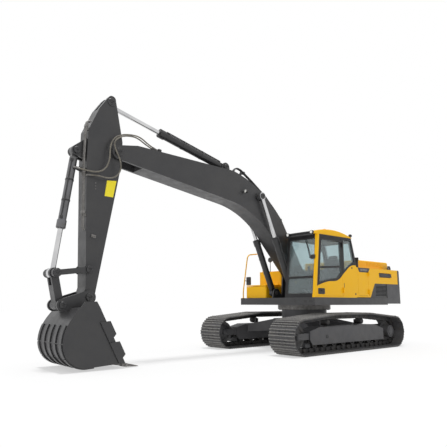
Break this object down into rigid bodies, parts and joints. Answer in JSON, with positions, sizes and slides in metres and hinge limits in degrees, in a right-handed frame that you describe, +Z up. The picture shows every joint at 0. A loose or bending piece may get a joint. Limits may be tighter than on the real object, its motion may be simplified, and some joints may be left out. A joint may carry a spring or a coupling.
{
  "type": "crawler excavator",
  "caption": "Crawler excavator on two track loops: slewing upper body with glazed cab and engine hood, cranked boom, arm and toothed bucket moved by hydraulic cylinders.",
  "frame": {"origin": "on the ground, under the slew axis", "axes": "+X forward (boom direction at rest), +Y to the operator's left, +Z up"},
  "size_m": [10.5341, 3.39, 5.5483],
  "materials": {
    "yellow_paint": "satin",
    "grey_paint": "satin",
    "dark_paint": "satin",
    "track_steel": "matt",
    "bare_steel": "worn",
    "engine_iron": "matt",
    "black_paint": "satin",
    "black_plastic": "matt",
    "glass": "clear",
    "seat_fabric": "matt",
    "chrome": "polished",
    "lamp_glass": "clear"
  },
  "bodies": {
    "undercarriage": {"carbody": "dark_paint", "track_frames": "dark_paint", "track_left": "track_steel", "track_right": "track_steel", "idlers": "track_steel", "sprockets": "track_steel", "bottom_rollers": "track_steel", "carrier_rollers": "track_steel", "tow_eyes": "dark_paint"},
    "upper": {"slew_ring": "bare_steel", "upper_frame": "dark_paint", "upper_pins": "bare_steel", "counterweight": "dark_paint", "lifting_eyes": "dark_paint", "engine_block": "engine_iron", "side_panel_left": "yellow_paint", "side_panel_right": "yellow_paint", "grilles": "black_plastic", "tanks": "yellow_paint", "tool_box": "yellow_paint", "handrail": "yellow_paint", "intake_stack": "black_plastic", "cab_frame": "black_paint", "cab_roof": "yellow_paint", "windscreens": "glass", "cab_glass": "glass", "seat": "seat_fabric", "consoles": "black_plastic", "panel_hinges": "black_paint", "engine_cover": "dark_paint", "work_lamps": "black_plastic", "lamp_lenses": "lamp_glass", "mirrors": "black_plastic"},
    "cab_door": {"cab_door": "yellow_paint", "door_glass": "glass"},
    "engine_hood": {"engine_hood": "yellow_paint"},
    "service_door_left": {"service_door_left": "yellow_paint"},
    "service_door_right": {"service_door_right": "yellow_paint"},
    "tool_box_lid": {"tool_box_lid": "yellow_paint"},
    "boom": {"boom": "grey_paint", "boom_pins": "bare_steel", "boom_lamp": "black_plastic", "boom_lamp_lens": "lamp_glass", "boom_lines": "black_paint"},
    "boom_barrels": {"boom_barrels": "black_paint"},
    "boom_rods": {"boom_rods": "chrome"},
    "arm_barrel": {"arm_barrel": "black_paint"},
    "arm_rod": {"arm_rod": "chrome"},
    "arm": {"arm": "grey_paint", "arm_pins": "bare_steel", "arm_lines": "bare_steel"},
    "bucket_barrel": {"bucket_barrel": "grey_paint"},
    "bucket_rod": {"bucket_rod": "chrome"},
    "rocker": {"rocker": "grey_paint"},
    "bucket_link": {"bucket_link": "grey_paint"},
    "bucket": {"bucket": "grey_paint", "bucket_pins": "bare_steel", "bucket_teeth": "bare_steel", "bucket_wear": "grey_paint"}
  },
  "joints": [
    {"name": "slew", "type": "hinge", "parent": "undercarriage", "child": "upper", "pos_m": [0, 0, 1.045], "axis": [0, 0, 1], "continuous": true},
    {"name": "boom_lift", "type": "hinge", "parent": "upper", "child": "boom", "pos_m": [0.41, 0, 1.99], "axis": [0, -1, 0], "range_deg": [-60, 42]},
    {"name": "boom_barrel_tilt", "type": "hinge", "parent": "upper", "child": "boom_barrels", "pos_m": [0.9, 0, 1.5], "axis": [0, -1, 0], "range_deg": [-57.43, 40.35]},
    {"name": "boom_rod_slide", "type": "slide", "parent": "boom_barrels", "child": "boom_rods", "axis": [0.4129, 0, 0.9108], "range_m": [-0.6559, 0.4603]},
    {"name": "arm_swing", "type": "hinge", "parent": "boom", "child": "arm", "pos_m": [6.1504, 0, 4.33261], "axis": [0, 1, 0], "range_deg": [-44, 60]},
    {"name": "arm_barrel_tilt", "type": "hinge", "parent": "boom", "child": "arm_barrel", "pos_m": [3.05638, 0, 4.63606], "axis": [0, 1, 0], "range_deg": [-7.16, 9.58]},
    {"name": "arm_rod_slide", "type": "slide", "parent": "arm_barrel", "child": "arm_rod", "axis": [0.9737, 0, 0.2279], "range_m": [-0.6891, 0.9382]},
    {"name": "bucket_curl", "type": "hinge", "parent": "arm", "child": "bucket", "pos_m": [6.65904, 0, 1.32533], "axis": [0, -1, 0], "range_deg": [-75, 70]},
    {"name": "rocker_swing", "type": "hinge", "parent": "arm", "child": "rocker", "pos_m": [6.68389, 0, 1.86199], "axis": [0, -1, 0], "range_deg": [-59, 55.1]},
    {"name": "link_swing", "type": "hinge", "parent": "bucket", "child": "bucket_link", "pos_m": [7.17304, 0, 1.18233], "axis": [0, -1, 0], "range_deg": [-59.58, 63.8]},
    {"name": "bucket_barrel_tilt", "type": "hinge", "parent": "arm", "child": "bucket_barrel", "pos_m": [7.0047, 0, 4.22863], "axis": [0, -1, 0], "range_deg": [-3.85, 3.62]},
    {"name": "bucket_rod_slide", "type": "slide", "parent": "bucket_barrel", "child": "bucket_rod", "axis": [0.1251, 0, -0.9921], "range_m": [-0.5449, 0.5835]},
    {"name": "cab_door_hinge", "type": "hinge", "parent": "upper", "child": "cab_door", "pos_m": [0.117, 1.459, 2.15], "axis": [0, 0, 1], "range_deg": [0, 165]},
    {"name": "engine_hood_hinge", "type": "hinge", "parent": "upper", "child": "engine_hood", "pos_m": [-1.276, 0, 2.214], "axis": [0, 1, 0], "range_deg": [0, 60]},
    {"name": "service_door_left_hinge", "type": "hinge", "parent": "upper", "child": "service_door_left", "pos_m": [-1.093, 1.459, 1.77], "axis": [0, 0, -1], "range_deg": [-110, 0]},
    {"name": "service_door_right_hinge", "type": "hinge", "parent": "upper", "child": "service_door_right", "pos_m": [-1.093, -1.459, 1.77], "axis": [0, 0, -1], "range_deg": [0, 110]},
    {"name": "tool_box_lid_hinge", "type": "hinge", "parent": "upper", "child": "tool_box_lid", "pos_m": [0.374, -0.925, 1.754], "axis": [0, -1, 0], "range_deg": [0, 88]}
  ],
  "couplings": [
    {"joint": "boom_barrel_tilt", "follows": "boom_lift", "ratio": 0.9489},
    {"joint": "boom_rod_slide", "follows": "boom_lift", "m_per_rad": 0.6225},
    {"joint": "arm_barrel_tilt", "follows": "arm_swing", "ratio": 0.1514},
    {"joint": "arm_rod_slide", "follows": "arm_swing", "m_per_rad": 0.8921},
    {"joint": "rocker_swing", "follows": "bucket_curl", "ratio": 0.78},
    {"joint": "link_swing", "follows": "bucket_curl", "ratio": -0.844},
    {"joint": "bucket_barrel_tilt", "follows": "bucket_curl", "ratio": 0.0446},
    {"joint": "bucket_rod_slide", "follows": "bucket_curl", "m_per_rad": -0.4427}
  ]
}
